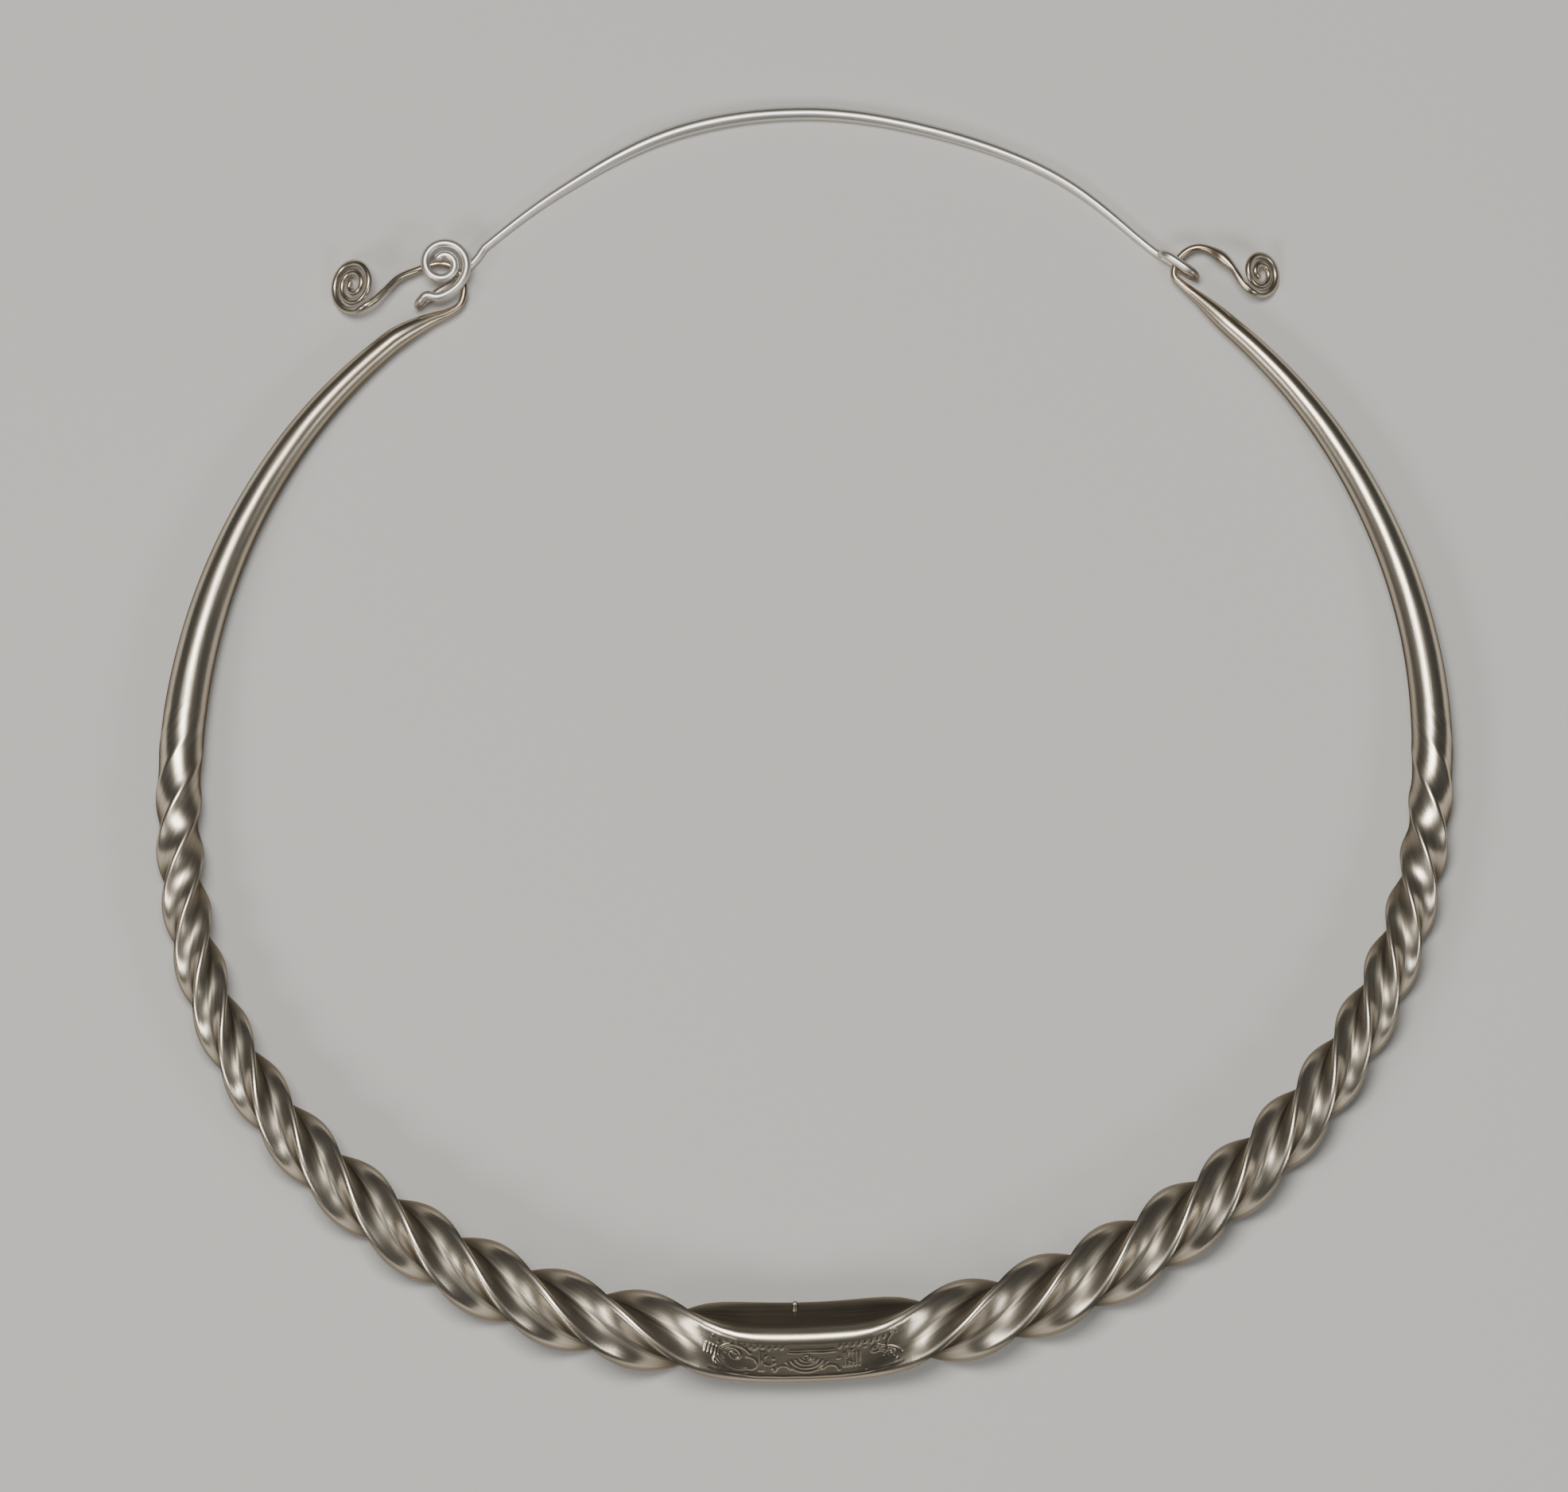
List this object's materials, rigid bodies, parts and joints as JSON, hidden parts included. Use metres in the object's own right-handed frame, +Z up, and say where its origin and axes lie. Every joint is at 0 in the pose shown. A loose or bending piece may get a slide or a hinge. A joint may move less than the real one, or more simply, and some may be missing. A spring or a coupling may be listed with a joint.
{
  "type": "silver torc",
  "caption": "Open neck ring of twisted four-ridged bar with an engraved panel, round tapering limbs, hooked coil ends and a bent wire back link.",
  "frame": {"origin": "on the ground under the middle of the whole, lying flat", "axes": "+Z up through the ring, -Y towards the engraved panel, +X towards the right limb as seen from above with the panel nearest"},
  "size_m": [0.1896, 0.1904, 0.0119],
  "materials": {
    "torc_silver": "hammered and burnished old silver, dark tarnish in the hollows",
    "link_silver": "bright drawn silver wire, brown tarnish at the bends"
  },
  "bodies": {
    "root": {"torc": "torc_silver", "back_link": "link_silver"}
  },
  "joints": []
}
